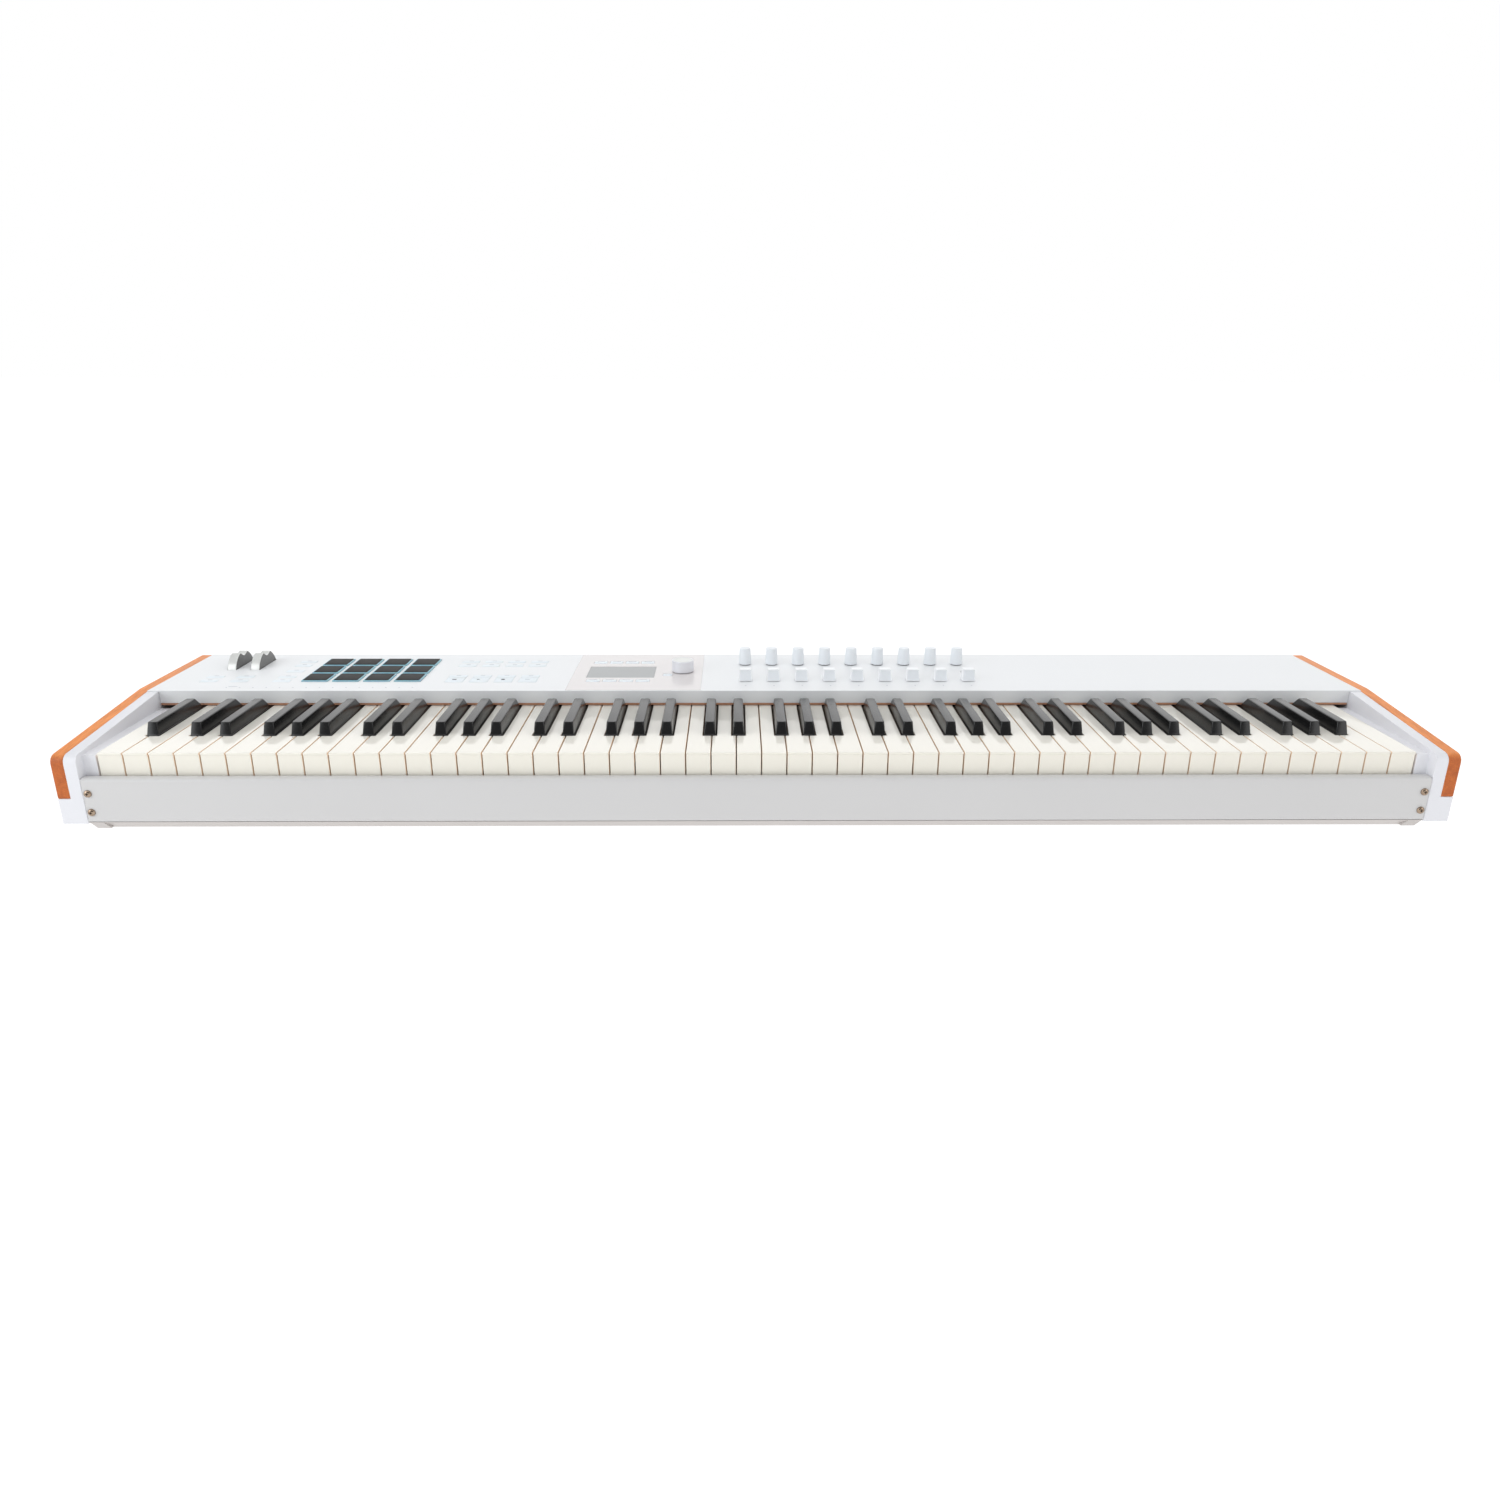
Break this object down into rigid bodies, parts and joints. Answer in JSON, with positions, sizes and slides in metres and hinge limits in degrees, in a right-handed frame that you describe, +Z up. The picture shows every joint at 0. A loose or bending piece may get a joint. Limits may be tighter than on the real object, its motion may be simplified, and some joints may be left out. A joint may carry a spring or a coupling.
{
  "type": "synthesizer keyboard",
  "caption": "Full-length stage synthesizer keyboard with wooden end panels, hinged keys, two wheels, pads, a display, knobs and faders on a raised white panel.",
  "frame": {"origin": "on the table, under the middle of the instrument's bounding box", "axes": "+X to the player's right, +Y from the player to the back, +Z up"},
  "size_m": [1.296, 0.3107, 0.116],
  "materials": {
    "white_sheet": "satin white powder coat",
    "white_plastic": "fine satin white moulded plastic",
    "white_keys": "warm white key plastic, semi-gloss",
    "black_keys": "black key plastic, satin",
    "wood": "warm orange-brown stained wood, open satin",
    "felt": "copper-brown felt",
    "steel": "galvanised sheet",
    "faceplate": "glossy warm white",
    "screen": "grey display glass, unlit",
    "circuit_board": "green board",
    "rubber": "black rubber",
    "screw_chrome": "bright plated",
    "wheel_silver": "silver painted tread, dark sides",
    "pad_silicone": "charcoal silicone with translucent edge"
  },
  "bodies": {
    "case": {"bottom_case": "white_sheet", "control_panel": "white_sheet", "front_rail": "white_sheet", "cheek_left": "white_plastic", "cheek_right": "white_plastic", "wood_side_left": "wood", "wood_side_right": "wood", "felt_strip": "felt", "keybed_frame": "steel", "display_faceplate": "faceplate", "display_screen": "screen", "main_board": "circuit_board", "foot_front_left": "rubber", "foot_front_right": "rubber", "foot_rear_left": "rubber", "foot_rear_right": "rubber", "rail_screw_upper_left": "screw_chrome", "rail_screw_lower_left": "screw_chrome", "rail_screw_upper_right": "screw_chrome", "rail_screw_lower_right": "screw_chrome"},
    "white_keys_bass": {"white_keys_bass": "white_keys"},
    "black_keys_bass": {"black_keys_bass": "black_keys"},
    "white_keys_treble": {"white_keys_treble": "white_keys"},
    "black_keys_treble": {"black_keys_treble": "black_keys"},
    "key_c4": {"key_c4": "white_keys"},
    "key_cs4": {"key_cs4": "black_keys"},
    "key_d4": {"key_d4": "white_keys"},
    "key_ds4": {"key_ds4": "black_keys"},
    "key_e4": {"key_e4": "white_keys"},
    "key_f4": {"key_f4": "white_keys"},
    "key_fs4": {"key_fs4": "black_keys"},
    "key_g4": {"key_g4": "white_keys"},
    "key_gs4": {"key_gs4": "black_keys"},
    "key_a4": {"key_a4": "white_keys"},
    "key_as4": {"key_as4": "black_keys"},
    "key_b4": {"key_b4": "white_keys"},
    "pitch_wheel": {"pitch_wheel": "wheel_silver"},
    "mod_wheel": {"mod_wheel": "wheel_silver"},
    "knob_1": {"knob_1": "white_plastic"},
    "knob_2": {"knob_2": "white_plastic"},
    "knob_3": {"knob_3": "white_plastic"},
    "knob_4": {"knob_4": "white_plastic"},
    "knob_5": {"knob_5": "white_plastic"},
    "knob_6": {"knob_6": "white_plastic"},
    "knob_7": {"knob_7": "white_plastic"},
    "knob_8": {"knob_8": "white_plastic"},
    "knob_9": {"knob_9": "white_plastic"},
    "fader_cap_1": {"fader_cap_1": "white_plastic"},
    "fader_cap_2": {"fader_cap_2": "white_plastic"},
    "fader_cap_3": {"fader_cap_3": "white_plastic"},
    "fader_cap_4": {"fader_cap_4": "white_plastic"},
    "fader_cap_5": {"fader_cap_5": "white_plastic"},
    "fader_cap_6": {"fader_cap_6": "white_plastic"},
    "fader_cap_7": {"fader_cap_7": "white_plastic"},
    "fader_cap_8": {"fader_cap_8": "white_plastic"},
    "fader_cap_9": {"fader_cap_9": "white_plastic"},
    "main_dial": {"main_dial": "white_plastic"},
    "button_mat_left": {"button_mat_left": "white_plastic"},
    "button_mat_display": {"button_mat_display": "white_plastic"},
    "pad_mat": {"pad_mat": "pad_silicone"}
  },
  "joints": [
    {"name": "white_keys_bass_press", "type": "hinge", "parent": "case", "child": "white_keys_bass", "pos_m": [-0.59925, 0.05735, 0.066], "axis": [1, 0, 0], "range_deg": [0, 2.9], "stiffness_Nm_per_rad": 7.82, "springref_deg": -28.65},
    {"name": "black_keys_bass_press", "type": "hinge", "parent": "case", "child": "black_keys_bass", "pos_m": [-0.5843, 0.05735, 0.066], "axis": [1, 0, 0], "range_deg": [0, 3.4], "stiffness_Nm_per_rad": 3.84, "springref_deg": -28.65},
    {"name": "white_keys_treble_press", "type": "hinge", "parent": "case", "child": "white_keys_treble", "pos_m": [0.10575, 0.05735, 0.066], "axis": [1, 0, 0], "range_deg": [0, 2.9], "stiffness_Nm_per_rad": 7.48, "springref_deg": -28.65},
    {"name": "black_keys_treble_press", "type": "hinge", "parent": "case", "child": "black_keys_treble", "pos_m": [0.11537, 0.05735, 0.066], "axis": [1, 0, 0], "range_deg": [0, 3.4], "stiffness_Nm_per_rad": 3.6, "springref_deg": -28.65},
    {"name": "key_c4_press", "type": "hinge", "parent": "case", "child": "key_c4", "pos_m": [-0.05875, 0.05735, 0.066], "axis": [1, 0, 0], "range_deg": [0, 2.9], "stiffness_Nm_per_rad": 0.34, "springref_deg": -28.65},
    {"name": "key_cs4_press", "type": "hinge", "parent": "case", "child": "key_cs4", "pos_m": [-0.04913, 0.05735, 0.066], "axis": [1, 0, 0], "range_deg": [0, 3.4], "stiffness_Nm_per_rad": 0.24, "springref_deg": -28.65},
    {"name": "key_d4_press", "type": "hinge", "parent": "case", "child": "key_d4", "pos_m": [-0.03525, 0.05735, 0.066], "axis": [1, 0, 0], "range_deg": [0, 2.9], "stiffness_Nm_per_rad": 0.34, "springref_deg": -28.65},
    {"name": "key_ds4_press", "type": "hinge", "parent": "case", "child": "key_ds4", "pos_m": [-0.02137, 0.05735, 0.066], "axis": [1, 0, 0], "range_deg": [0, 3.4], "stiffness_Nm_per_rad": 0.24, "springref_deg": -28.65},
    {"name": "key_e4_press", "type": "hinge", "parent": "case", "child": "key_e4", "pos_m": [-0.01175, 0.05735, 0.066], "axis": [1, 0, 0], "range_deg": [0, 2.9], "stiffness_Nm_per_rad": 0.34, "springref_deg": -28.65},
    {"name": "key_f4_press", "type": "hinge", "parent": "case", "child": "key_f4", "pos_m": [0.01175, 0.05735, 0.066], "axis": [1, 0, 0], "range_deg": [0, 2.9], "stiffness_Nm_per_rad": 0.34, "springref_deg": -28.65},
    {"name": "key_fs4_press", "type": "hinge", "parent": "case", "child": "key_fs4", "pos_m": [0.0203, 0.05735, 0.066], "axis": [1, 0, 0], "range_deg": [0, 3.4], "stiffness_Nm_per_rad": 0.24, "springref_deg": -28.65},
    {"name": "key_g4_press", "type": "hinge", "parent": "case", "child": "key_g4", "pos_m": [0.03525, 0.05735, 0.066], "axis": [1, 0, 0], "range_deg": [0, 2.9], "stiffness_Nm_per_rad": 0.34, "springref_deg": -28.65},
    {"name": "key_gs4_press", "type": "hinge", "parent": "case", "child": "key_gs4", "pos_m": [0.047, 0.05735, 0.066], "axis": [1, 0, 0], "range_deg": [0, 3.4], "stiffness_Nm_per_rad": 0.24, "springref_deg": -28.65},
    {"name": "key_a4_press", "type": "hinge", "parent": "case", "child": "key_a4", "pos_m": [0.05875, 0.05735, 0.066], "axis": [1, 0, 0], "range_deg": [0, 2.9], "stiffness_Nm_per_rad": 0.34, "springref_deg": -28.65},
    {"name": "key_as4_press", "type": "hinge", "parent": "case", "child": "key_as4", "pos_m": [0.0737, 0.05735, 0.066], "axis": [1, 0, 0], "range_deg": [0, 3.4], "stiffness_Nm_per_rad": 0.24, "springref_deg": -28.65},
    {"name": "key_b4_press", "type": "hinge", "parent": "case", "child": "key_b4", "pos_m": [0.08225, 0.05735, 0.066], "axis": [1, 0, 0], "range_deg": [0, 2.9], "stiffness_Nm_per_rad": 0.34, "springref_deg": -28.65},
    {"name": "pitch_wheel_turn", "type": "hinge", "parent": "case", "child": "pitch_wheel", "pos_m": [-0.5845, 0.11035, 0.0873], "axis": [1, 0, 0], "range_deg": [-35, 35], "stiffness_Nm_per_rad": 0.06},
    {"name": "mod_wheel_turn", "type": "hinge", "parent": "case", "child": "mod_wheel", "pos_m": [-0.5588, 0.11035, 0.0873], "axis": [1, 0, 0], "range_deg": [-35, 35]},
    {"name": "knob_1_turn", "type": "hinge", "parent": "case", "child": "knob_1", "pos_m": [-0.0133, 0.11135, 0.0964], "axis": [0, 0, 1], "continuous": true},
    {"name": "knob_2_turn", "type": "hinge", "parent": "case", "child": "knob_2", "pos_m": [0.01685, 0.11135, 0.0964], "axis": [0, 0, 1], "continuous": true},
    {"name": "knob_3_turn", "type": "hinge", "parent": "case", "child": "knob_3", "pos_m": [0.047, 0.11135, 0.0964], "axis": [0, 0, 1], "continuous": true},
    {"name": "knob_4_turn", "type": "hinge", "parent": "case", "child": "knob_4", "pos_m": [0.07715, 0.11135, 0.0964], "axis": [0, 0, 1], "continuous": true},
    {"name": "knob_5_turn", "type": "hinge", "parent": "case", "child": "knob_5", "pos_m": [0.1073, 0.11135, 0.0964], "axis": [0, 0, 1], "continuous": true},
    {"name": "knob_6_turn", "type": "hinge", "parent": "case", "child": "knob_6", "pos_m": [0.13745, 0.11135, 0.0964], "axis": [0, 0, 1], "continuous": true},
    {"name": "knob_7_turn", "type": "hinge", "parent": "case", "child": "knob_7", "pos_m": [0.1676, 0.11135, 0.0964], "axis": [0, 0, 1], "continuous": true},
    {"name": "knob_8_turn", "type": "hinge", "parent": "case", "child": "knob_8", "pos_m": [0.19775, 0.11135, 0.0964], "axis": [0, 0, 1], "continuous": true},
    {"name": "knob_9_turn", "type": "hinge", "parent": "case", "child": "knob_9", "pos_m": [0.2279, 0.11135, 0.0964], "axis": [0, 0, 1], "continuous": true},
    {"name": "fader_cap_1_slide", "type": "slide", "parent": "case", "child": "fader_cap_1", "axis": [0, 1, 0], "range_m": [0, 0.036]},
    {"name": "fader_cap_2_slide", "type": "slide", "parent": "case", "child": "fader_cap_2", "axis": [0, 1, 0], "range_m": [0, 0.036]},
    {"name": "fader_cap_3_slide", "type": "slide", "parent": "case", "child": "fader_cap_3", "axis": [0, 1, 0], "range_m": [0, 0.036]},
    {"name": "fader_cap_4_slide", "type": "slide", "parent": "case", "child": "fader_cap_4", "axis": [0, 1, 0], "range_m": [0, 0.036]},
    {"name": "fader_cap_5_slide", "type": "slide", "parent": "case", "child": "fader_cap_5", "axis": [0, 1, 0], "range_m": [0, 0.036]},
    {"name": "fader_cap_6_slide", "type": "slide", "parent": "case", "child": "fader_cap_6", "axis": [0, 1, 0], "range_m": [0, 0.036]},
    {"name": "fader_cap_7_slide", "type": "slide", "parent": "case", "child": "fader_cap_7", "axis": [0, 1, 0], "range_m": [0, 0.036]},
    {"name": "fader_cap_8_slide", "type": "slide", "parent": "case", "child": "fader_cap_8", "axis": [0, 1, 0], "range_m": [0, 0.036]},
    {"name": "fader_cap_9_slide", "type": "slide", "parent": "case", "child": "fader_cap_9", "axis": [0, 1, 0], "range_m": [0, 0.036]},
    {"name": "main_dial_turn", "type": "hinge", "parent": "case", "child": "main_dial", "pos_m": [-0.0826, 0.08085, 0.0964], "axis": [0, 0, 1], "continuous": true},
    {"name": "button_mat_left_press", "type": "slide", "parent": "case", "child": "button_mat_left", "axis": [0, 0, -1], "range_m": [0, 0.0008], "stiffness_N_per_m": 900, "springref_m": -0.002},
    {"name": "button_mat_display_press", "type": "slide", "parent": "case", "child": "button_mat_display", "axis": [0, 0, -1], "range_m": [0, 0.0008], "stiffness_N_per_m": 400, "springref_m": -0.002},
    {"name": "pad_mat_press", "type": "slide", "parent": "case", "child": "pad_mat", "axis": [0, 0, -1], "range_m": [0, 0.0005], "stiffness_N_per_m": 1500, "springref_m": -0.002}
  ]
}
